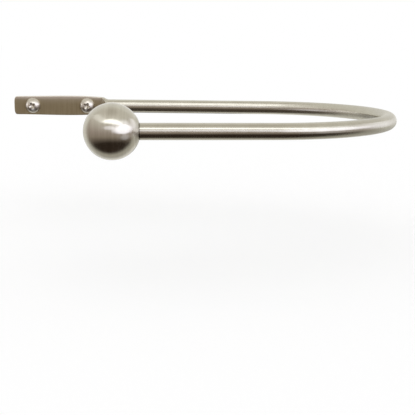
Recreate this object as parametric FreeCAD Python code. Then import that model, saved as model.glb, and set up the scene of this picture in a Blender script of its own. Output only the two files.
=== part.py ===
"""Curtain holdback: a round rod pressed into a wall tab, bent in one bow and ended by a ball.

The wall is the plane Y = 0 and the room is on the -Y side. X runs along the wall from the tab towards the bow,
Z is up, and the origin is midway between the two screws. All lengths are in millimetres.
"""
import math
import os

import FreeCAD
import Part

Vec = FreeCAD.Vector

# Rod and bow
rod_d = 6.1
back_lean = 4.0        # degrees by which the back arm leaves the wall
front_flare = 3.0      # degrees by which the front arm opens outwards
back_run = 75.1        # from the end of the tab's flat to the start of the bow
bow_r = 52.0           # radius of the rod's centreline
front_run = 57.1       # from the end of the bow to the ball's centre

# Tab, pressed out of the rod
tab_t = 3.2
screw_spacing = 25.6
end_margin = 8.8       # from one screw's axis to the tab's free end
flat_margin = 7.0      # from the other screw's axis to the end of the flat
tab_end_w = 8.5
tab_mid_w = 9.0
tab_screw_w = 8.72     # at the screw nearer the rod
tab_neck_w = 7.85
side_round = 0.6       # radius between the tab's sides and the faces of its blank
press_trim = 0.2       # how far the blank stands out of each pressed face
press_edge = 60.0      # degrees, the slope that the pressing tool's edge leaves
neck_len = 3.3         # from the end of the flat to the full round rod
side_arc = 5.0         # degrees, half of the rod's round that each side of the blank turns into
end_bulge = 0.4        # the free end is a little convex
end_corner_r = 0.9
end_spread = 0.2       # slope of the trimming block's sides, kept clear of the tab's own

# Ball, and the stud on the rod's end that holds it
ball_d = 20.1
stud_d = 4.0
stud_len = 7.0
stud_gap = 0.05        # radial, stud to hole
floor_gap = 1.0        # stud's end to the hole's floor
seat_gap = 0.25        # radial, rod to the wall of its socket
seat_sink = 1.0        # depth of the socket below its rim

# Screws
head_d = 7.0
head_h = 2.6
head_rim_h = 0.5
shank_d = 2.8          # plain, as long as the tab is thick
thread_d = 3.5
screw_len = 30.0       # under the head
tip_len = 5.0
tip_d = 0.4
screw_gap = 0.2        # radial, thread to the tab's hole
recess_d = 3.9
recess_depth = 1.1
recess_floor_d = 0.8
recess_wing_w = 1.0
recess_turns = (28.0, 62.0)   # degrees, where each screw came to rest

rod_r = rod_d / 2
ball_r = ball_d / 2
head_r = head_d / 2
screw_xs = (-screw_spacing / 2, screw_spacing / 2)
tab_x0 = screw_xs[0] - end_margin
tab_x1 = screw_xs[1] + flat_margin
blank_h = tab_t + 2 * press_trim
lean = math.radians(back_lean)
flare = math.radians(front_flare)
up = Vec(0, 0, 1)

# The rod's centreline: straight back arm, one bow, straight front arm
back_dir = Vec(math.cos(lean), -math.sin(lean), 0)
front_dir = Vec(-math.cos(flare), -math.sin(flare), 0)
back_out = up.cross(back_dir)
front_out = up.cross(front_dir)
arm_start = Vec(tab_x1, -rod_r, 0)
neck_end = arm_start + back_dir * neck_len
bow_start = arm_start + back_dir * back_run
bow_centre = bow_start - back_out * bow_r
bow_end = bow_centre + front_out * bow_r
bow_mid = bow_centre + (back_out + front_out + back_dir - front_dir).normalize() * bow_r
ball_centre = bow_end + front_dir * front_run
seat_r = rod_r + seat_gap
seat_dist = math.sqrt(ball_r ** 2 - seat_r ** 2)
shoulder = ball_centre - front_dir * (seat_dist - seat_sink)


def spoke(out, angle, length):
    """An arrow of that length in a section's plane, turned from upright towards out."""
    turn = math.radians(angle)
    return (up * math.cos(turn) + out * math.sin(turn)) * length


def section_wire(centre, out, width, height, round_r):
    """A closed wire of four rounds and four sides: its width stands upright and its height lies along out.

    Where the rounds fill it, the sides become short arcs, so that a full round has eight edges too.
    """
    core_up = up * (width / 2 - round_r)
    core_out = out * (height / 2 - round_r)
    full_round = math.isclose(width, 2 * round_r)
    trim = side_arc if full_round else 0.0
    hubs = [
        centre + core_up + core_out,
        centre - core_up + core_out,
        centre - core_up - core_out,
        centre + core_up - core_out,
    ]
    edges = []
    for quarter, hub in enumerate(hubs):
        angle = 90 * quarter
        first = hub + spoke(out, angle + trim, round_r)
        last = hub + spoke(out, angle + 90 - trim, round_r)
        after = hubs[(quarter + 1) % 4] + spoke(out, angle + 90 + trim, round_r)
        edges.append(Part.Arc(first, hub + spoke(out, angle + 45, round_r), last).toShape())
        if full_round:
            edges.append(Part.Arc(last, centre + spoke(out, angle + 90, round_r), after).toShape())
        else:
            edges.append(Part.makeLine(last, after))
    return Part.Wire(edges)


def tab_section(x, width):
    """The tab's blank, straight across at X."""
    return section_wire(Vec(x, -tab_t / 2, 0), Vec(0, 1, 0), width, blank_h, side_round)


def neck_section(share):
    """The section at a share of the neck's length, eased from the tab's blank to the round rod."""
    ease = share * share * (3 - 2 * share)
    start = Vec(tab_x1, -tab_t / 2, 0)
    centre = start + (neck_end - start) * ease
    centre.x = tab_x1 + (neck_end.x - tab_x1) * share
    angle = lean * ease
    out = Vec(math.sin(angle), math.cos(angle), 0)
    width = tab_neck_w + (rod_d - tab_neck_w) * ease
    height = blank_h + (rod_d - blank_h) * ease
    return section_wire(centre, out, width, height, side_round + (rod_r - side_round) * ease)


def side_block(points):
    """A block with a side view given by X, Y points, wider than the tab."""
    corners = [Vec(x, y, -tab_mid_w) for x, y in points]
    return Part.Face(Part.makePolygon(corners + corners[:1])).extrude(up * (2 * tab_mid_w))


def end_block():
    """A block over the tab and neck whose near end has the free end's convex, round-cornered outline."""
    half = tab_end_w / 2
    far_x = neck_end.x + rod_d
    far_half = half + end_spread * (far_x - tab_x0)
    top = Vec(tab_x0 + end_bulge, rod_d, half)
    low = Vec(tab_x0 + end_bulge, rod_d, -half)
    far_low = Vec(far_x, rod_d, -far_half)
    far_top = Vec(far_x, rod_d, far_half)
    outline = Part.Wire([
        Part.Arc(top, Vec(tab_x0, rod_d, 0), low).toShape(),
        Part.makeLine(low, far_low),
        Part.makeLine(far_low, far_top),
        Part.makeLine(far_top, top),
    ])
    through = Vec(0, -4 * rod_d, 0)
    block = Part.Face(outline).extrude(through)
    uprights = [e for e in block.Edges if math.isclose(e.Length, through.Length)]
    corners = [e for e in uprights if math.isclose(e.CenterOfMass.x, top.x)]
    return block.makeFillet(end_corner_r, corners)


def make_tab():
    """The pressed tab and its neck: a blank with rounded sides, flattened on both faces, trimmed and drilled."""
    plate = Part.makeLoft([
        tab_section(tab_x0 - end_corner_r, tab_end_w),
        tab_section((tab_x0 + tab_x1) / 2, tab_mid_w),
        tab_section(screw_xs[1], tab_screw_w),
        tab_section(tab_x1, tab_neck_w),
    ], True, False)
    neck = Part.makeLoft([neck_section(share) for share in (0, 1 / 3, 2 / 3, 1)], True, False)
    blank = plate.fuse(neck)
    x_min = tab_x0 - rod_d
    x_max = neck_end.x + rod_d
    wall_side = side_block([(x_min, 0), (x_max, 0), (x_max, rod_d), (x_min, rod_d)])
    rise = 2 * press_trim
    edge_x = tab_x1 + rise / math.tan(math.radians(press_edge))
    room_side = side_block([(x_min, -tab_t), (tab_x1, -tab_t), (edge_x, -tab_t - rise), (x_min, -tab_t - rise)])
    tab = blank.common(end_block()).cut([wall_side, room_side])
    hole_r = thread_d / 2 + screw_gap
    return tab.cut([Part.makeCylinder(hole_r, 2 * rod_d, Vec(x, -rod_d, 0), Vec(0, 1, 0)) for x in screw_xs])


def make_arm():
    """The tab, the bent rod and the stud on its front end, as one solid."""
    path = Part.Wire([
        Part.makeLine(neck_end, bow_start),
        Part.Arc(bow_start, bow_mid, bow_end).toShape(),
        Part.makeLine(bow_end, shoulder),
    ])
    profile = Part.Wire(Part.makeCircle(rod_r, neck_end, back_dir))
    rod = path.makePipeShell([profile], True, True)
    stud = Part.makeCylinder(stud_d / 2, stud_len, shoulder, front_dir)
    return make_tab().fuse([rod, stud]).removeSplitter()


def make_ball():
    """The ball, turned with a socket for the rod's end and a blind hole for its stud."""
    hole_r = stud_d / 2 + stud_gap
    floor = shoulder + front_dir * (stud_len + floor_gap)
    far_pole = ball_centre + front_dir * ball_r
    seat_rim = ball_centre - front_dir * seat_dist + up * seat_r
    corners = [far_pole, floor, floor + up * hole_r, shoulder + up * hole_r, shoulder + up * seat_r, seat_rim]
    skin = Part.Arc(seat_rim, ball_centre + up * ball_r, far_pole).toShape()
    section = Part.Face(Part.Wire(Part.makePolygon(corners).Edges + [skin]))
    return section.revolve(ball_centre, front_dir, 360)


def make_screw(x, turn):
    """One screw: domed head on the tab, plain shank through it, thread length and point behind the wall."""
    under = -tab_t
    apex = under - head_h
    rim = under - head_rim_h
    dome_h = head_h - head_rim_h
    dome_r = (head_r ** 2 + dome_h ** 2) / (2 * dome_h)
    half_angle = math.asin(head_r / dome_r) / 2
    dome_mid = Vec(dome_r * math.sin(half_angle), apex + dome_r * (1 - math.cos(half_angle)), 0)
    tip_y = under + screw_len
    steps = [
        (head_r, rim),
        (head_r, under),
        (shank_d / 2, under),
        (shank_d / 2, 0),
        (thread_d / 2, 0),
        (thread_d / 2, tip_y - tip_len),
        (tip_d / 2, tip_y),
        (0, tip_y),
        (0, apex),
    ]
    corners = [Vec(r, y, 0) for r, y in steps]
    dome = Part.Arc(corners[-1], dome_mid, corners[0]).toShape()
    outline = Part.Wire([dome] + Part.makePolygon(corners).Edges)
    body = Part.Face(outline).revolve(Vec(0, 0, 0), Vec(0, 1, 0), 360)

    wing = Part.makeBox(recess_d, recess_depth, recess_wing_w, Vec(-recess_d / 2, apex, -recess_wing_w / 2))
    other = wing.copy()
    other.rotate(Vec(0, 0, 0), Vec(0, 1, 0), 90)
    taper = Part.makeCone(recess_d / 2, recess_floor_d / 2, recess_depth, Vec(0, apex, 0), Vec(0, 1, 0))
    screw = body.cut(wing.fuse(other).common(taper))
    screw.rotate(Vec(0, 0, 0), Vec(0, 1, 0), turn)
    screw.translate(Vec(x, 0, 0))
    return screw


parts = {
    "holdback_arm": make_arm(),
    "ball_finial": make_ball(),
    "mounting_screws": Part.makeCompound([make_screw(x, t) for x, t in zip(screw_xs, recess_turns)]),
}
os.makedirs("parts", exist_ok=True)
for name, shape in parts.items():
    shape.exportStep(f"parts/{name}.step")
    box = shape.BoundBox
    print(name, shape.isValid(), len(shape.Solids), round(shape.Volume, 2), box)
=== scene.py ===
"""Looks of a curtain holdback: a satin nickel rod with a pressed wall tab, one wide bow and a ball.

The wall is the plane Y = 0 and the room is on the -Y side. X runs along the wall from the tab towards
the bow, Z is up, and the origin is midway between the two screws. All lengths are in metres.
"""
import math

import bmesh
import bpy
import numpy as np
from mathutils import Matrix


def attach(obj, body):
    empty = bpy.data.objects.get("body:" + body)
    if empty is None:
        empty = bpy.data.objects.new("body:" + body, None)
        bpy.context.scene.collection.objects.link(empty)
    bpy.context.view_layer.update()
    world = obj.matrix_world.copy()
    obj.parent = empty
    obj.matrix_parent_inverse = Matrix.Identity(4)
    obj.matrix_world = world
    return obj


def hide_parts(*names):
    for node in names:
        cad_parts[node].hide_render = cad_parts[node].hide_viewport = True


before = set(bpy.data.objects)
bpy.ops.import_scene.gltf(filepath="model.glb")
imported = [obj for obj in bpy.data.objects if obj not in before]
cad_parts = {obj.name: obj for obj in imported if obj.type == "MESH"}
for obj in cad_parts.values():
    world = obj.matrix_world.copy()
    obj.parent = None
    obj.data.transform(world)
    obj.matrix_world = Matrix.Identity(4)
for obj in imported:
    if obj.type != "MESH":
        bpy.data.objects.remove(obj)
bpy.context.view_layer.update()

# Rod and bow
rod_r = 0.00305
back_lean = math.radians(4.0)      # by which the back arm leaves the wall
front_flare = math.radians(3.0)    # by which the front arm opens outwards
back_run = 0.0751                  # from the end of the tab's flat to the start of the bow
bow_r = 0.052                      # of the rod's centreline
front_run = 0.0571                 # from the end of the bow to the ball's centre

# Tab, pressed out of the rod
tab_t = 0.0032
screw_spacing = 0.0256
end_margin = 0.0088                # from one screw's axis to the tab's free end
flat_margin = 0.0070               # from the other screw's axis to the end of the flat
tab_end_w = 0.0085
tab_mid_w = 0.009
tab_screw_w = 0.00872              # at the screw nearer the rod
tab_neck_w = 0.00785
side_round = 0.0006                # radius between the sides and the faces of its blank
flat_arc = math.radians(20.0)      # half of the angle that each flat side takes of a section's turn
press_trim = 0.0002                # how far the blank stands out of each pressed face
press_edge = math.radians(60.0)    # slope that the pressing tool's edge leaves
neck_len = 0.0033                  # from the end of the flat to the full round rod
end_round = 0.0016                 # length of the free end's rounding in plan
end_square = 3.2                   # power of the superellipse there
end_edge_r = 0.00035               # softened edges of the free end
crease_r = 0.00015                 # softened edges of the pressed faces
hole_r = 0.00195
sheen_fade = 0.00045                 # depth over which the painted highlight on the upper edge fades
sheen_wide = 0.35                    # strength of the wide painted sheen below that edge
sheen_middle = 0.7                   # share of the way to each screw where the wide painted sheen is full
sheen_reach = 0.6                    # share of the screw spacing over which it then fades

# Ball on the rod's front end
ball_r = 0.01005
seat_gap = 0.00025                 # radial, rod to the wall of its socket
seat_sink = 0.0010                 # depth of the socket below its rim
seat_rim_r = 0.0001                # rounding of the rim
joint_shade_w = 0.0003                    # width of the painted shade: a dark line round the rod where it enters the ball
joint_shade_lead = 1.6                    # how far before the socket's rim it starts, in its own widths
seam_zone = 4 * joint_shade_w             # length before the rim in which the rod's rings stand closer
dull_from = 0.76                   # share of the ball's radius towards the rod where its duller ring starts
dull_fade = 0.12                   # and the share over which it becomes full
dull_rough = 0.42                  # roughness of that ring

# Screws
head_r = 0.0035
head_h = 0.0026
head_rim_h = 0.0005
shank_r = 0.0014                   # plain, as long as the tab is thick
thread_r = 0.00175
thread_root = 0.72                 # share of the thread's radius
thread_pitch = 0.0013
thread_ridge = 0.3                 # half of a ridge's foot, as a share of the pitch
screw_len = 0.030                  # under the head
tip_len = 0.005
tip_r = 0.0002
recess_r = 0.00195
recess_depth = 0.0011
recess_floor_r = 0.0004
recess_wing_w = 0.0010
recess_edge = 0.00028              # width over which the recess's walls are softened
recess_turns = (math.radians(28.0), math.radians(62.0))

# How finely the surfaces are divided: points along each stretch, and columns round each piece
end_steps = 15
plate_steps = 60
neck_steps = 40
back_steps = 24
bow_steps = 170
front_steps = 15
seam_steps = 25
rod_columns = 120
hole_columns = 48
ball_steps = 110
ball_rim_steps = 6
ball_columns = 144
dome_steps = 73
head_rim_steps = 5
shank_steps = 4
thread_steps = 181
screw_columns = 96
crisp_angle = math.radians(40)     # faces that meet at more than this keep a crisp edge
screw_crisp_angle = math.radians(50)

# Where the metal's surroundings are centred
scene_middle = (0.06, -0.06, 0.0)

# Places that follow from the sizes
screw_xs = (-screw_spacing / 2, screw_spacing / 2)
tab_x0 = screw_xs[0] - end_margin
tab_x1 = screw_xs[1] + flat_margin
blank_h = tab_t + 2 * press_trim
bow_turn = math.pi - back_lean - front_flare
bow_len = bow_r * bow_turn
seat_r = rod_r + seat_gap
seat_dist = math.sqrt(ball_r ** 2 - seat_r ** 2)
seat_floor = seat_dist - seat_sink
arm_len = back_run + bow_len + front_run - seat_floor
seam_along = arm_len - seat_sink


def direction(angle):
    """The unit vector in the XY plane at an angle from +X, for a number or an array of angles."""
    return np.stack([np.cos(angle), np.sin(angle)], -1)


def outward(angle):
    """The unit vector in the XY plane a quarter turn left of the direction at that angle."""
    return np.stack([-np.sin(angle), np.cos(angle)], -1)


arm_start = np.array([tab_x1, -rod_r])
back_dir = direction(-back_lean)
back_out = outward(-back_lean)
front_dir = direction(-back_lean - bow_turn)
front_out = outward(-back_lean - bow_turn)
bow_start = arm_start + back_dir * back_run
bow_centre = bow_start - back_out * bow_r
bow_end = bow_centre + front_out * bow_r
ball_centre = bow_end + front_dir * front_run


def full_turn(columns):
    """Angles spread evenly round a full turn."""
    return np.linspace(0, 2 * math.pi, columns + 1)[:-1]


def smoothstep(share):
    """Eases 0..1 with flat ends: three times the square less twice the cube."""
    share = np.clip(share, 0.0, 1.0)
    return share * share * (3 - 2 * share)


def soft_low(value, limit, radius):
    """The smaller of value and limit, with a parabola of that half length over the corner between them."""
    near = np.clip(value - limit + radius, 0.0, 2 * radius)
    return np.minimum(value, limit + radius) - near * near / (4 * radius)


def soft_high(value, limit, radius):
    """The larger of value and limit, rounded over the corner between them."""
    return -soft_low(-value, -limit, radius)


def rod_line(along):
    """Centre points and headings of the rod at distances along it, measured from the end of the flat.

    The line is straight to the bow, then a circle's arc turned by distance over radius, then straight again.
    """
    turned = np.clip((along - back_run) / bow_r, 0.0, bow_turn)
    heading = -back_lean - turned
    straight_back = np.minimum(along, back_run)[:, None] * back_dir
    straight_front = np.maximum(along - back_run - bow_len, 0.0)[:, None] * front_dir
    centre = arm_start + straight_back + bow_r * (outward(heading) - back_out) + straight_front
    return centre, heading


def straightened(points):
    """Where each point lay on the rod before it was bent: distance along it, offset outwards and height.

    Beside the bow the distance is radius times angle about the bow's centre, and the offset is the distance
    from that centre less the radius. Elsewhere both are measured square to the straight run.
    """
    flat = points[:, :2]
    spoke = flat - bow_centre
    turned = np.arctan2(spoke @ back_dir, spoke @ back_out)
    on_back = ((flat - bow_start) @ back_dir < 0) & (flat[:, 1] > bow_centre[1])
    on_front = ((flat - bow_end) @ front_dir > 0) & (flat[:, 1] < bow_centre[1])
    along = back_run + bow_r * turned
    along = np.where(on_back, (flat - arm_start) @ back_dir, along)
    along = np.where(on_front, back_run + bow_len + (flat - bow_end) @ front_dir, along)
    offset = np.linalg.norm(spoke, axis=1) - bow_r
    offset = np.where(on_back, (flat - arm_start) @ back_out, offset)
    offset = np.where(on_front, (flat - bow_end) @ front_out, offset)
    return np.stack([along, offset, points[:, 2]], -1)


def ring_faces(rings, columns):
    """Four-sided faces between neighbouring rings, each ring's last point joined to its first."""
    ring, column = np.meshgrid(np.arange(rings - 1), np.arange(columns), indexing="ij")
    after = (column + 1) % columns
    corners = [ring * columns + column, ring * columns + after,
               (ring + 1) * columns + after, (ring + 1) * columns + column]
    return np.stack(corners, -1).reshape(-1, 4)


def pole_faces(pole, first, columns):
    """Three-sided faces from a pole point to the ring that starts at point number first."""
    column = np.arange(columns)
    after = (column + 1) % columns
    return np.stack([np.full(columns, pole), first + column, first + after], -1)


def enclosed_volume(points, triangles):
    """Signed volume inside a closed skin: a sixth of the sum of each triangle's triple product."""
    a, b, c = (points[triangles[:, k]] for k in range(3))
    return np.einsum("ij,ij->i", a, np.cross(b, c)).sum() / 6


def closed_skin(name, rings, first_pole=None, last_pole=None):
    """A mesh over a grid of rings, closed at each end by a pole point, with its faces turned outwards."""
    count, columns, _ = rings.shape
    points = rings.reshape(-1, 3)
    quads = ring_faces(count, columns)
    caps = np.empty((0, 3), int)
    if first_pole is not None:
        caps = np.vstack([caps, pole_faces(len(points), 0, columns)[:, ::-1]])
        points = np.vstack([points, first_pole])
    if last_pole is not None:
        caps = np.vstack([caps, pole_faces(len(points), (count - 1) * columns, columns)])
        points = np.vstack([points, last_pole])
    triangles = np.vstack([quads[:, [0, 1, 2]], quads[:, [0, 2, 3]], caps])
    if enclosed_volume(points - points.mean(0), triangles) < 0:
        quads = quads[:, ::-1]
        caps = caps[:, ::-1]
    mesh = bpy.data.meshes.new(name)
    mesh.from_pydata(points.tolist(), [], quads.tolist() + caps.tolist())
    return mesh


def place(data):
    """Puts a mesh, lamp or camera into the scene as an object of its own name at the origin."""
    placed = bpy.data.objects.new(data.name, data)
    bpy.context.scene.collection.objects.link(placed)
    return placed


def mesh_points(mesh):
    """All of a mesh's points as an array."""
    flat = np.empty(len(mesh.vertices) * 3)
    mesh.vertices.foreach_get("co", flat)
    return flat.reshape(-1, 3)


def store(mesh, name, kind, values):
    """Keeps one value for each point of a mesh, for its material to read."""
    layer = mesh.attributes.new(name, kind, "POINT")
    layer.data.foreach_set("vector" if kind == "FLOAT_VECTOR" else "value", values.astype(np.float32).ravel())


def smooth_shaded(mesh, sharp_angle):
    """Smooth shading all over, with a crisp edge wherever two faces meet at more than the given angle."""
    mesh.polygons.foreach_set("use_smooth", np.ones(len(mesh.polygons), bool))
    mesh.set_sharp_from_angle(angle=sharp_angle)


def section(half_w, half_h, round_r, columns):
    """Upright and outward distances round a row of sections, from a flat bar's to a full round's.

    Each point is a spoke of the corner's radius on a core rectangle. The core's share runs from -1 to 1 over
    a few degrees at the middle of each side and stays there round the corner, so without a core the section
    is a circle.
    """
    angle = full_turn(columns)
    upright, across = np.cos(angle), np.sin(angle)
    core_up = np.clip(upright / math.sin(flat_arc), -1, 1)
    core_across = np.clip(across / math.sin(flat_arc), -1, 1)
    round_r = round_r[:, None]
    z = (half_w[:, None] - round_r) * core_up + round_r * upright
    offset = (half_h[:, None] - round_r) * core_across + round_r * across
    return z, offset


def tab_width(x):
    """The tab's width at x: the cubic through its widths at the end, middle, second screw and neck."""
    places = np.array([tab_x0, (tab_x0 + tab_x1) / 2, screw_xs[1], tab_x1])
    widths = np.array([tab_end_w, tab_mid_w, tab_screw_w, tab_neck_w])
    return np.polyval(np.polyfit(places, widths, 3), x)


def arm_rings():
    """The arm's skin as rings: a section at each station, cut level with the wall and with the pressed flat.

    On the tab the section is a bar with rounded sides, and the free end is a superellipse in plan. In the
    neck the bar is eased to the rod's circle, which then follows the rod's line to the ball.
    """
    grow = np.sin(np.linspace(0, math.pi / 2, end_steps))
    end_share = 1 - (1 - grow ** end_square) ** (1 / end_square)
    end_x = tab_x0 + end_round * end_share
    plate_x = np.linspace(tab_x0 + end_round, tab_x1, plate_steps)[1:-1]
    tab_x = np.concatenate([end_x, plate_x])
    tab_grow = np.concatenate([grow, np.ones(len(plate_x))])
    share = np.linspace(0, 1, neck_steps)
    seam_start = seam_along - seam_zone
    run = np.concatenate([
        np.linspace(neck_len, back_run, back_steps)[1:],
        back_run + np.linspace(0, bow_len, bow_steps)[1:],
        np.linspace(back_run + bow_len, seam_start, front_steps)[1:],
        np.linspace(seam_start, arm_len, seam_steps)[1:],
    ])
    neck_centre, neck_heading = rod_line(np.array([neck_len]))
    run_centre, run_heading = rod_line(run)

    ease = smoothstep(share)
    neck_x = tab_x1 + (neck_centre[0, 0] - tab_x1) * share
    neck_y = -tab_t / 2 + (neck_centre[0, 1] + tab_t / 2) * ease
    centre = np.vstack([
        np.stack([tab_x, np.full(len(tab_x), -tab_t / 2)], -1),
        np.stack([neck_x, neck_y], -1),
        run_centre,
    ])
    heading = np.concatenate([np.zeros(len(tab_x)), neck_heading[0] * ease, run_heading])
    on_rod = np.concatenate([np.zeros(len(tab_x)), ease, np.ones(len(run))])
    bar_w = np.concatenate([tab_width(tab_x) * tab_grow, np.full(len(share) + len(run), tab_neck_w)])
    half_w = bar_w / 2 + (rod_r - bar_w / 2) * on_rod
    half_h = blank_h / 2 + (rod_r - blank_h / 2) * on_rod
    round_r = np.minimum(side_round + (rod_r - side_round) * on_rod, half_w)

    z, offset = section(half_w, half_h, round_r, rod_columns)
    flat = centre[:, None, :] + offset[..., None] * outward(heading)[:, None, :]
    x, y = flat[..., 0], flat[..., 1]
    pressed = len(tab_x) + len(share)
    front_limit = -tab_t - np.maximum(x[:pressed] - tab_x1, 0.0) * math.tan(press_edge)
    y[:pressed] = soft_low(soft_high(y[:pressed], front_limit, crease_r), 0.0, crease_r)
    depth = np.minimum(tab_x - tab_x0, end_edge_r)
    half_t = tab_t / 2 - end_edge_r + np.sqrt(end_edge_r ** 2 - (end_edge_r - depth) ** 2)
    thinner = (half_t / (tab_t / 2))[:, None]
    y[:len(tab_x)] = -tab_t / 2 + (y[:len(tab_x)] + tab_t / 2) * thinner
    return np.stack([x, y, z], -1)


def drill(piece, places, radius):
    """Cuts a round hole along Y through a piece at each X in places."""
    turn = full_turn(hole_columns)
    depth = np.array([-4 * rod_r, 4 * rod_r])     # well past the tab on both sides
    for x in places:
        rings = np.empty((2, len(turn), 3))
        rings[..., 0] = x + radius * np.cos(turn)
        rings[..., 1] = depth[:, None]
        rings[..., 2] = radius * np.sin(turn)
        ends = np.stack([np.full(2, x), depth, np.zeros(2)], -1)
        drill_bit = place(closed_skin("drill_bit", rings, ends[0], ends[1]))
        cut = piece.modifiers.new("screw_hole", "BOOLEAN")
        cut.operation = "DIFFERENCE"
        cut.solver = "EXACT"
        cut.object = drill_bit
        view = bpy.context.evaluated_depsgraph_get()
        drilled = bpy.data.meshes.new_from_object(piece.evaluated_get(view))
        piece.modifiers.clear()
        before = piece.data
        piece.data = drilled
        bpy.data.meshes.remove(before)
        bpy.data.objects.remove(drill_bit)


def merge_ends(mesh):
    """Joins points that lie together, which closes the collapsed ring on the tab's free end."""
    merge_gap = 1e-7
    work = bmesh.new()
    work.from_mesh(mesh)
    bmesh.ops.remove_doubles(work, verts=work.verts, dist=merge_gap)
    work.to_mesh(mesh)
    work.free()


def make_arm():
    """The tab, neck, back arm, bow and front arm as one skin, with the two screw holes drilled."""
    rings = arm_rings()
    mesh = closed_skin("holdback_arm_satin", rings, None, rings[-1].mean(0))
    merge_ends(mesh)
    piece = place(mesh)
    drill(piece, screw_xs, hole_r)
    piece.data.name = piece.name
    points = mesh_points(piece.data)
    unbent = straightened(points)
    store(piece.data, "turned", "FLOAT_VECTOR", unbent)
    heading = rod_line(unbent[:, 0])[1]
    store(piece.data, "axis", "FLOAT_VECTOR", np.column_stack([direction(heading), np.zeros(len(points))]))
    on_tab = smoothstep((neck_len / 2 - unbent[:, 0]) / neck_len)
    store(piece.data, "pressed", "FLOAT", on_tab)
    # Painted highlight: the tab's upper edge, and a wide band below it between the screws, are made lighter as
    # if lit from above.
    below_top = tab_width(points[:, 0]) / 2 - points[:, 2]
    edge_sheen = np.exp(-np.maximum(below_top - side_round, 0.0) / sheen_fade)
    past_middle = np.abs(points[:, 0]) - sheen_middle * screw_xs[1]
    by_middle = 1 - smoothstep(past_middle / (sheen_reach * screw_spacing))
    wide_sheen = sheen_wide * by_middle * (1 - smoothstep(2 * below_top / tab_mid_w))
    store(piece.data, "painted_top_sheen", "FLOAT", on_tab * np.clip(edge_sheen + wide_sheen, 0.0, 1.0))
    # Painted shade: a dark line on the rod just before it enters the ball's socket, where the gap lies in
    # shade.
    store(piece.data, "joint_shade", "FLOAT", smoothstep((unbent[:, 0] - seam_along) / joint_shade_w + joint_shade_lead))
    smooth_shaded(piece.data, crisp_angle)
    return piece


def revolved(name, profile, centre, axis, side, columns):
    """A profile of distances along an axis and radii, carried round it, with a pole at each of its ends."""
    turn = full_turn(columns)
    up = np.cross(axis, side)
    spoke = np.cos(turn)[:, None] * side + np.sin(turn)[:, None] * up
    middle = profile[1:-1]
    rings = centre + middle[:, None, :1] * axis + middle[:, None, 1:] * spoke
    return closed_skin(name, rings, centre + profile[0, 0] * axis, centre + profile[-1, 0] * axis)


def make_ball():
    """The ball: a circle's arc from its far pole to the rim of the rod's socket, turned round the rod's axis.

    The rim is rounded by a parabola between the ball's skin and the socket's wall.
    """
    axis = np.append(front_dir, 0.0)
    side = np.append(front_out, 0.0)
    centre = np.append(ball_centre, 0.0)
    rim_angle = math.pi - math.asin(seat_r / ball_r)
    arc = np.linspace(0, rim_angle - seat_rim_r / ball_r, ball_steps)
    skin = np.stack([ball_r * np.cos(arc), ball_r * np.sin(arc)], -1)
    skin[0, 1] = 0.0
    corner = np.array([-seat_dist, seat_r])
    wall = np.array([-seat_dist + seat_rim_r, seat_r])
    share = np.linspace(0, 1, ball_rim_steps)[1:, None]
    rim = (1 - share) ** 2 * skin[-1] + 2 * share * (1 - share) * corner + share ** 2 * wall
    floor = np.array([[-seat_floor, seat_r], [-seat_floor, 0.0]])
    mesh = revolved("ball_satin", np.vstack([skin, rim, floor]), centre, axis, side, ball_columns)
    offset = mesh_points(mesh) - centre
    store(mesh, "turned", "FLOAT_VECTOR", np.stack([offset @ axis, offset @ side, offset[:, 2]], -1))
    store(mesh, "axis", "FLOAT_VECTOR", np.broadcast_to(axis, offset.shape))
    towards_rod = -(offset @ axis) / ball_r
    store(mesh, "by_the_seat", "FLOAT", smoothstep((towards_rod - dull_from) / dull_fade))
    smooth_shaded(mesh, crisp_angle)
    return place(mesh)


def all_round(values, angle):
    """A row for each value, which is the same at every angle."""
    return values[:, None] + 0 * angle


def screw_rings(x, turn, angle):
    """One screw's skin as rings about its axis, from the head's dome to the point.

    The dome is a sphere's cap with a cross recess pressed into it: inside the wings the surface drops to a
    cone that narrows to a flat floor. Behind the wall the radius is the root plus a ridge that climbs one
    pitch each turn.
    """
    under = -tab_t
    apex = under - head_h
    dome_h = head_h - head_rim_h
    dome_r = (head_r ** 2 + dome_h ** 2) / (2 * dome_h)
    radius = all_round(np.linspace(0, head_r, dome_steps)[1:], angle)
    dome = apex + dome_r - np.sqrt(dome_r ** 2 - radius ** 2)
    wing_x = np.abs(radius * np.cos(angle - turn))
    wing_z = np.abs(radius * np.sin(angle - turn))
    inside = smoothstep((recess_wing_w / 2 - np.minimum(wing_x, wing_z)) / recess_edge + 0.5)
    cone = np.minimum(1.0, (recess_r - radius) / (recess_r - recess_floor_r)) * recess_depth
    dome = dome + inside * np.maximum(apex + cone - dome, 0.0)

    rim = all_round(np.linspace(under - head_rim_h, under, head_rim_steps)[1:], angle)
    rim_r = np.full(rim.shape, head_r)
    under_r = all_round(np.array([(head_r + shank_r) / 2, shank_r]), angle)
    under_y = np.full(under_r.shape, under)
    shank_y = all_round(np.linspace(under, 0, shank_steps)[1:], angle)
    plain_r = np.full(shank_y.shape, shank_r)

    point = under + screw_len
    thread_y = all_round(np.linspace(0, point, thread_steps)[1:], angle)
    crest = thread_r + (tip_r - thread_r) * np.clip((thread_y - point + tip_len) / tip_len, 0.0, 1.0)
    phase = np.mod(thread_y / thread_pitch - angle / (2 * math.pi), 1.0)
    ridge = np.clip(1 - np.abs(phase - 0.5) / thread_ridge, 0.0, 1.0)
    start = np.clip(thread_y / thread_pitch, 0.0, 1.0)
    thread = crest * (thread_root + (1 - thread_root) * ridge * start)

    all_r = np.vstack([radius, rim_r, under_r, plain_r, thread])
    all_y = np.vstack([dome, rim, under_y, shank_y, thread_y])
    rings = np.stack([x + all_r * np.cos(angle), all_y, all_r * np.sin(angle)], -1)
    return rings, np.array([x, apex + recess_depth, 0.0]), np.array([x, point, 0.0])


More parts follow.
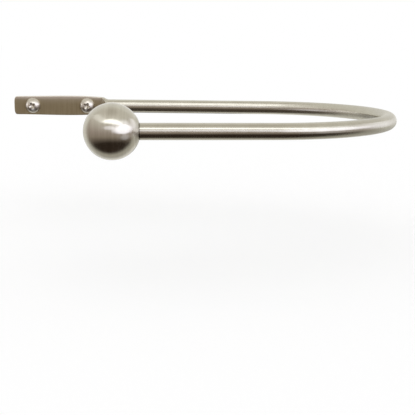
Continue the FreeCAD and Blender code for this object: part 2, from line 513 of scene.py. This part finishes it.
def make_screws():
    """Both wall screws as one piece, each a closed skin about its own axis."""
    angle = full_turn(screw_columns)
    screws = []
    for number, (x, turn) in enumerate(zip(screw_xs, recess_turns)):
        rings, top, point = screw_rings(x, turn, angle)
        mesh = closed_skin(f"wall_screw_{number}", rings, top, point)
        offset = mesh_points(mesh) - np.array([x, 0.0, 0.0])
        store(mesh, "turned", "FLOAT_VECTOR", offset[:, [1, 0, 2]])
        store(mesh, "axis", "FLOAT_VECTOR", np.broadcast_to(np.array([0.0, 1.0, 0.0]), offset.shape))
        smooth_shaded(mesh, screw_crisp_angle)
        screws.append(place(mesh))
    piece = screws[0]
    with bpy.context.temp_override(active_object=piece, selected_editable_objects=screws):
        bpy.ops.object.join()
    piece.name = "wall_screws_nickel"
    piece.data.name = piece.name
    return piece


def brushing_group():
    """Fine turned scratches, as noise that changes quickly along the piece and slowly round it, and clouds."""
    along, around = 1.0, 0.04
    group = bpy.data.node_groups.new("turned_brushing", "ShaderNodeTree")
    group.interface.new_socket("Place", in_out="INPUT", socket_type="NodeSocketVector")
    group.interface.new_socket("Fineness", in_out="INPUT", socket_type="NodeSocketFloat")
    group.interface.new_socket("Scratch", in_out="OUTPUT", socket_type="NodeSocketFloat")
    group.interface.new_socket("Cloud", in_out="OUTPUT", socket_type="NodeSocketFloat")
    nodes, links = group.nodes, group.links
    inlet = nodes.new("NodeGroupInput")
    outlet = nodes.new("NodeGroupOutput")
    stretch = nodes.new("ShaderNodeVectorMath")
    stretch.operation = "MULTIPLY"
    stretch.inputs[1].default_value = (along, around, around)
    links.new(inlet.outputs["Place"], stretch.inputs[0])
    scratch = nodes.new("ShaderNodeTexNoise")
    scratch.inputs["Detail"].default_value = 3.0
    scratch.inputs["Roughness"].default_value = 0.65
    links.new(stretch.outputs["Vector"], scratch.inputs["Vector"])
    links.new(inlet.outputs["Fineness"], scratch.inputs["Scale"])
    links.new(scratch.outputs["Fac"], outlet.inputs["Scratch"])
    cloud = nodes.new("ShaderNodeTexNoise")
    cloud.inputs["Scale"].default_value = 220.0
    cloud.inputs["Detail"].default_value = 2.0
    links.new(inlet.outputs["Place"], cloud.inputs["Vector"])
    links.new(cloud.outputs["Fac"], outlet.inputs["Cloud"])
    return group


def spread_out(nodes, links, value, low, high):
    """Stretches the middle of a noise, where nearly all its values lie, to run from low to high."""
    noise_low, noise_high = 0.3, 0.7
    stretch = nodes.new("ShaderNodeMapRange")
    stretch.inputs["From Min"].default_value = noise_low
    stretch.inputs["From Max"].default_value = noise_high
    stretch.inputs["To Min"].default_value = low
    stretch.inputs["To Max"].default_value = high
    links.new(value, stretch.inputs["Value"])
    return stretch.outputs["Result"]


def two_tones(nodes, links, value, dark, light):
    """A colour between a dark and a light tone, by a value from 0 to 1."""
    tone = nodes.new("ShaderNodeMix")
    tone.data_type = "RGBA"
    tone.inputs["A"].default_value = (*dark, 1.0)
    tone.inputs["B"].default_value = (*light, 1.0)
    links.new(value, tone.inputs["Factor"])
    return tone.outputs["Result"]


def brush_node(nodes, links, brushing, fineness):
    """The turned scratches at one fineness, in scratches to the metre along the piece."""
    where = nodes.new("ShaderNodeAttribute")
    where.attribute_name = "turned"
    brush = nodes.new("ShaderNodeGroup")
    brush.node_tree = brushing
    brush.inputs["Fineness"].default_value = fineness
    links.new(where.outputs["Vector"], brush.inputs["Place"])
    return brush


def satin_material(name, brushing, light, dark, streaks, fineness, rough, rough_spread, grain, scratch_depth):
    """Satin nickel: metal whose tone, roughness and surface follow the turned scratches.

    The grain blurs what the metal mirrors along the piece's own axis, across the scratches. The tone follows
    the scratches or the soft clouds, whichever of the two streaks names.
    """
    material = bpy.data.materials.new(name)
    material.use_nodes = True
    nodes, links = material.node_tree.nodes, material.node_tree.links
    shader = nodes["Principled BSDF"]
    shader.inputs["Metallic"].default_value = 1.0
    brush = brush_node(nodes, links, brushing, fineness)
    blend = spread_out(nodes, links, brush.outputs[streaks], 0.0, 1.0)
    links.new(two_tones(nodes, links, blend, dark, light), shader.inputs["Base Color"])
    dull = spread_out(nodes, links, brush.outputs["Scratch"], rough - rough_spread, rough + rough_spread)
    links.new(dull, shader.inputs["Roughness"])
    groove = nodes.new("ShaderNodeBump")
    groove.inputs["Strength"].default_value = 1.0
    groove.inputs["Distance"].default_value = scratch_depth
    links.new(brush.outputs["Scratch"], groove.inputs["Height"])
    links.new(groove.outputs["Normal"], shader.inputs["Normal"])
    axis = nodes.new("ShaderNodeAttribute")
    axis.attribute_name = "axis"
    links.new(axis.outputs["Vector"], shader.inputs["Tangent"])
    shader.inputs["Anisotropic"].default_value = grain
    return material


def mix_by(material, mask_name, data_type, socket, value):
    """Blends what feeds one of a material's inputs to a value where the mask stored on the piece says so."""
    nodes, links = material.node_tree.nodes, material.node_tree.links
    inlet = nodes["Principled BSDF"].inputs[socket]
    mask = nodes.new("ShaderNodeAttribute")
    mask.attribute_name = mask_name
    mix = nodes.new("ShaderNodeMix")
    mix.data_type = data_type
    if isinstance(value, bpy.types.NodeSocket):
        links.new(value, mix.inputs["B"])
    else:
        mix.inputs["B"].default_value = value
    links.new(inlet.links[0].from_socket, mix.inputs["A"])
    links.new(mask.outputs["Fac"], mix.inputs["Factor"])
    links.new(mix.outputs["Result"], inlet)


def finish_the_tab(material, brushing):
    """Browner, duller pressed faces, a painted highlight along the upper edge, and the dark line of painted
    shade where the rod enters the ball.
    """
    pressed_dark, pressed_light = (0.298, 0.252, 0.147), (0.382, 0.33, 0.205)
    # Painted highlight for the tab's upper edge.
    painted_top_sheen = (0.62, 0.57, 0.46, 1.0)
    # Painted shade for the gap where the rod enters the ball.
    joint_shade = (0.18, 0.165, 0.13, 1.0)
    pressed_rough = 0.38
    nodes, links = material.node_tree.nodes, material.node_tree.links
    brush = brush_node(nodes, links, brushing, fineness=1300.0)
    blend = spread_out(nodes, links, brush.outputs["Scratch"], 0.0, 1.0)
    pressed = two_tones(nodes, links, blend, pressed_dark, pressed_light)
    mix_by(material, "pressed", "RGBA", "Base Color", pressed)
    # Painted highlight along the upper edge of the tab.
    mix_by(material, "painted_top_sheen", "RGBA", "Base Color", painted_top_sheen)
    # Painted shade where the rod enters the ball.
    mix_by(material, "joint_shade", "RGBA", "Base Color", joint_shade)
    mix_by(material, "pressed", "FLOAT", "Roughness", pressed_rough)


def make_floor():
    """A wide pale floor below the part. The metal mirrors the surroundings, not the floor."""
    drop = 0.05
    half = 4.0
    mesh = bpy.data.meshes.new("floor")
    corners = [(-half, -half, -drop), (half, -half, -drop), (half, half, -drop), (-half, half, -drop)]
    mesh.from_pydata(corners, [], [(0, 1, 2, 3)])
    floor = place(mesh)
    floor.visible_glossy = False
    material = bpy.data.materials.new("pale_floor")
    material.use_nodes = True
    shader = material.node_tree.nodes["Principled BSDF"]
    shader.inputs["Base Color"].default_value = (1.0, 1.0, 1.0, 1.0)
    shader.inputs["Roughness"].default_value = 1.0
    shader.inputs["Specular IOR Level"].default_value = 0.0
    mesh.materials.append(material)


def ramp_node(nodes, tones):
    """A colour ramp with straight blends between the given places and tones."""
    ramp = nodes.new("ShaderNodeValToRGB")
    stops = ramp.color_ramp.elements
    while len(stops) < len(tones):
        stops.new(0.5)
    for stop, (position, tone) in zip(stops, tones):
        stop.position = position
        stop.color = (*tone, 1.0)
    return ramp


def mirrored_only(thing):
    """Hides a lamp or a glowing surface from the camera and from dull surfaces, so that only metal shows it."""
    thing.visible_camera = False
    thing.visible_diffuse = False


def glowing_surface(mesh):
    """A surface that glows in what mirrors it and casts no shadow, with the nodes and links of its material."""
    surface = place(mesh)
    mirrored_only(surface)
    surface.visible_shadow = False
    material = bpy.data.materials.new(mesh.name)
    material.use_nodes = True
    material.cycles.emission_sampling = "NONE"
    nodes, links = material.node_tree.nodes, material.node_tree.links
    nodes.clear()
    glow = nodes.new("ShaderNodeEmission")
    end = nodes.new("ShaderNodeOutputMaterial")
    links.new(glow.outputs["Emission"], end.inputs["Surface"])
    mesh.materials.append(material)
    return surface, nodes, links, glow


def make_room():
    """The room that the metal mirrors: a large sphere, white behind the part, dim and brown in front of it.

    Each side has its own ramp of tones from the floor to the ceiling, and the two blend by the distance
    backwards, which is measured a little downwards and to the right.
    """
    radius = 3.0
    rows, columns = 31, 60
    back_way = (0.06, 1.0, -0.3)
    dim_to, white_from = 0.14 * radius, 0.55 * radius
    elevation = np.linspace(-math.pi / 2, math.pi / 2, rows)
    el, az = np.meshgrid(elevation[1:-1], full_turn(columns), indexing="ij")
    rings = np.stack([np.cos(az) * np.cos(el), np.sin(az) * np.cos(el), np.sin(el)], -1)
    pole = np.array([0.0, 0.0, radius])
    mesh = closed_skin("dim_room", radius * rings + scene_middle, scene_middle - pole, scene_middle + pole)
    room, nodes, links, glow = glowing_surface(mesh)
    where = nodes.new("ShaderNodeTexCoord")
    centred = nodes.new("ShaderNodeVectorMath")
    centred.operation = "SUBTRACT"
    centred.inputs[1].default_value = scene_middle
    split = nodes.new("ShaderNodeSeparateXYZ")
    height = nodes.new("ShaderNodeMapRange")
    height.inputs["From Min"].default_value = -radius
    height.inputs["From Max"].default_value = radius
    backwards = nodes.new("ShaderNodeVectorMath")
    backwards.operation = "DOT_PRODUCT"
    backwards.inputs[1].default_value = back_way
    behind = nodes.new("ShaderNodeMapRange")
    behind.interpolation_type = "SMOOTHSTEP"
    behind.inputs["From Min"].default_value = dim_to
    behind.inputs["From Max"].default_value = white_from
    front_tones = ramp_node(nodes, [
        (0.0, (0.05, 0.035, 0.028)), (0.19, (0.042, 0.03, 0.023)), (0.29, (0.23, 0.19, 0.17)),
        (0.37, (0.43, 0.37, 0.335)), (0.50, (0.54, 0.465, 0.45)), (0.69, (0.79, 0.74, 0.72)),
        (0.85, (0.94, 0.93, 0.91)), (0.955, (0.97, 0.95, 0.93)), (0.995, (0.79, 0.76, 0.73)),
    ])
    back_tones = ramp_node(nodes, [
        (0.0, (0.58, 0.565, 0.54)), (0.22, (0.66, 0.65, 0.62)), (0.42, (1.05, 1.05, 1.04)),
        (0.955, (1.05, 1.03, 1.03)), (0.995, (0.79, 0.76, 0.73)),
    ])
    blend = nodes.new("ShaderNodeMix")
    blend.data_type = "RGBA"
    links.new(where.outputs["Object"], centred.inputs[0])
    links.new(centred.outputs["Vector"], split.inputs[0])
    links.new(split.outputs["Z"], height.inputs["Value"])
    links.new(centred.outputs["Vector"], backwards.inputs[0])
    links.new(backwards.outputs["Value"], behind.inputs["Value"])
    links.new(height.outputs["Result"], front_tones.inputs["Fac"])
    links.new(height.outputs["Result"], back_tones.inputs["Fac"])
    links.new(behind.outputs["Result"], blend.inputs["Factor"])
    links.new(front_tones.outputs["Color"], blend.inputs["A"])
    links.new(back_tones.outputs["Color"], blend.inputs["B"])
    links.new(blend.outputs["Result"], glow.inputs["Color"])


def make_board(name, y, x_range, z_range, tone_range):
    """An upright board behind the part. Its tone rises with height from the first of the range to the last."""
    shade_low, shade_high = -0.28, -0.07
    (left, right), (low, high) = x_range, z_range
    corners = [(left, y, low), (right, y, low), (right, y, high), (left, y, high)]
    mesh = bpy.data.meshes.new(name)
    mesh.from_pydata(corners, [], [(0, 1, 2, 3)])
    board, nodes, links, glow = glowing_surface(mesh)
    glow.inputs["Color"].default_value = (1.0, 1.0, 1.0, 1.0)
    where = nodes.new("ShaderNodeTexCoord")
    split = nodes.new("ShaderNodeSeparateXYZ")
    shade = nodes.new("ShaderNodeMapRange")
    shade.inputs["From Min"].default_value = shade_low
    shade.inputs["From Max"].default_value = shade_high
    shade.inputs["To Min"].default_value, shade.inputs["To Max"].default_value = tone_range
    links.new(where.outputs["Object"], split.inputs[0])
    links.new(split.outputs["Z"], shade.inputs["Value"])
    links.new(shade.outputs["Result"], glow.inputs["Strength"])


def make_softbox(name, aim, distance, azimuth, elevation, lean, width, height, brightness, colour, spread):
    """An oval lamp at a distance from the point it is aimed at, in a direction given in degrees.

    Azimuth 0 is the camera's side. The lamp only shows in the metal: the white surroundings light the floor.
    """
    lamp = bpy.data.lights.new(name, "AREA")
    lamp.shape = "ELLIPSE"
    lamp.size = width
    lamp.size_y = height
    lamp.energy = brightness * math.pi * (math.pi / 4 * width * height)
    lamp.color = colour
    lamp.spread = math.radians(spread)
    box = place(lamp)
    swing = Matrix.Rotation(math.radians(azimuth), 4, "Z")
    raise_up = Matrix.Rotation(math.pi / 2 - math.radians(elevation), 4, "X")
    back_off = Matrix.Translation((0.0, 0.0, distance))
    turned = Matrix.Rotation(math.radians(lean), 4, "Z")
    box.matrix_world = Matrix.Translation(aim) @ swing @ raise_up @ back_off @ turned
    mirrored_only(box)


def make_light():
    """White surroundings, the room and boards that the metal mirrors, far softboxes and near cards."""
    world = bpy.data.worlds.new("white_surroundings")
    bpy.context.scene.world = world
    world.use_nodes = True
    world.cycles.sampling_method = "NONE"
    sky = world.node_tree.nodes["Background"]
    sky.inputs["Color"].default_value = (1.0, 1.0, 1.0, 1.0)
    sky.inputs["Strength"].default_value = 1.0
    make_room()
    make_board("white_board", 0.045, (-0.3, 0.2), (-0.3, 0.3), (0.58, 1.05))
    make_board("grey_strip", 0.044, (-0.02, 0.086), (-0.07, 0.0), (0.34, 0.34))
    middle = scene_middle
    ball = (*ball_centre, 0.0)
    back_arm = (0.06, -0.006, 0.0)
    in_bow = (0.07, -0.055, 0.0)
    bow_back = (0.119, -0.018, 0.0)
    tab = (0.0, -0.004, 0.0)
    tab_left = (-0.010, -0.004, 0.0)
    cool = (0.93, 0.97, 1.13)
    blue = (0.92, 0.98, 1.28)
    warm = (1.05, 0.93, 0.8)
    wide, narrow = 180.0, 60.0
    lamps = (
        # name, aim, distance, azimuth, elevation, lean, width, height, brightness, colour, spread
        ("softbox_above", middle, 1.2, 8.0, 44.0, -8.0, 1.6, 0.42, 1.7, cool, wide),
        ("glow_above", middle, 1.2, 4.0, 55.0, 0.0, 1.9, 0.5, 0.07, cool, wide),
        ("softbox_right", middle, 1.2, 52.0, 12.0, 0.0, 1.85, 0.7, 1.35, blue, wide),
        ("halo_right", middle, 1.2, 48.0, 18.0, 0.0, 2.3, 1.05, 0.36, blue, wide),
        ("glow_right", middle, 1.2, 60.0, 34.0, 0.0, 1.0, 0.5, 0.4, blue, wide),
        ("glow_between", middle, 1.2, -6.0, 19.0, 0.0, 0.8, 0.3, 0.78, blue, wide),
        ("softbox_low_right", middle, 1.2, 58.0, -16.0, 0.0, 0.75, 0.44, 0.4, blue, wide),
        ("softbox_far_right", middle, 1.2, 110.0, 10.0, 0.0, 0.8, 1.0, 0.75, blue, wide),
        ("card_by_the_ball", ball, 0.15, -66.0, 47.0, 0.0, 0.19, 0.05, 0.5, cool, wide),
        ("strip_over_back_arm", back_arm, 0.08, 0.0, 64.0, 0.0, 0.12, 0.036, 0.17, cool, narrow),
        ("card_in_the_bow", in_bow, 0.045, 0.0, -90.0, 0.0, 0.11, 0.08, 0.055, warm, wide),
        ("card_facing_the_bow", bow_back, 0.05, -60.0, -12.0, 0.0, 0.018, 0.024, 0.11, blue, narrow),
        ("card_under_the_tab", tab_left, 0.06, -8.0, -52.0, 0.0, 0.045, 0.06, 0.1, cool, narrow),
        ("card_left_of_the_tab", tab, 0.1, -90.0, 5.0, 0.0, 0.08, 0.08, 0.16, cool, narrow),
    )
    for lamp in lamps:
        make_softbox(*lamp)


def make_camera():
    """The photograph's own view: a long lens a little above the part, tilted down."""
    frame_px = 415
    focal_px = 901.57
    pan, tilt, roll = 0.00542, -0.19136, -0.00530
    standpoint = (0.072074, -0.429308, 0.034018)
    lens = bpy.data.cameras.new("camera")
    lens.sensor_width = 36.0
    lens.lens = lens.sensor_width * focal_px / frame_px
    lens.clip_start = 0.01
    lens.clip_end = 50.0
    camera = place(lens)
    panned = Matrix.Rotation(pan, 4, "Z")
    tilted = Matrix.Rotation(math.pi / 2 + tilt, 4, "X")
    rolled = Matrix.Rotation(-roll, 4, "Z")
    camera.matrix_world = Matrix.Translation(standpoint) @ panned @ tilted @ rolled
    bpy.context.scene.camera = camera


def main():
    """Builds the pieces, gives them their finish, lights the scene and sets the camera."""
    brushing = brushing_group()
    rod_finish = satin_material(
        "satin_nickel_rod", brushing,
        light=(0.50, 0.475, 0.385), dark=(0.455, 0.43, 0.345), streaks="Cloud",
        fineness=2600.0, rough=0.25, rough_spread=0.03, grain=0.92, scratch_depth=2e-6,
    )
    finish_the_tab(rod_finish, brushing)
    ball_finish = satin_material(
        "satin_nickel_ball", brushing,
        light=(0.525, 0.495, 0.405), dark=(0.445, 0.42, 0.338), streaks="Scratch",
        fineness=900.0, rough=0.21, rough_spread=0.05, grain=0.8, scratch_depth=2.5e-5,
    )
    mix_by(ball_finish, "by_the_seat", "FLOAT", "Roughness", dull_rough)
    screw_finish = satin_material(
        "screw_nickel", brushing,
        light=(0.57, 0.53, 0.44), dark=(0.51, 0.47, 0.39), streaks="Cloud",
        fineness=3000.0, rough=0.32, rough_spread=0.03, grain=0.0, scratch_depth=2e-6,
    )
    for piece, node, slot, finish in (
        (make_arm(), "holdback_arm", "satin_nickel", rod_finish),
        (make_ball(), "ball_finial", "satin_nickel_ball", ball_finish),
        (make_screws(), "mounting_screws", "screw_nickel", screw_finish),
    ):
        piece.data.materials.clear()
        piece.data.materials.append(finish)
        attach(piece, "root")
        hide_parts(node)
    make_floor()
    make_light()
    make_camera()
    bpy.context.scene.view_settings.view_transform = "Standard"


main()
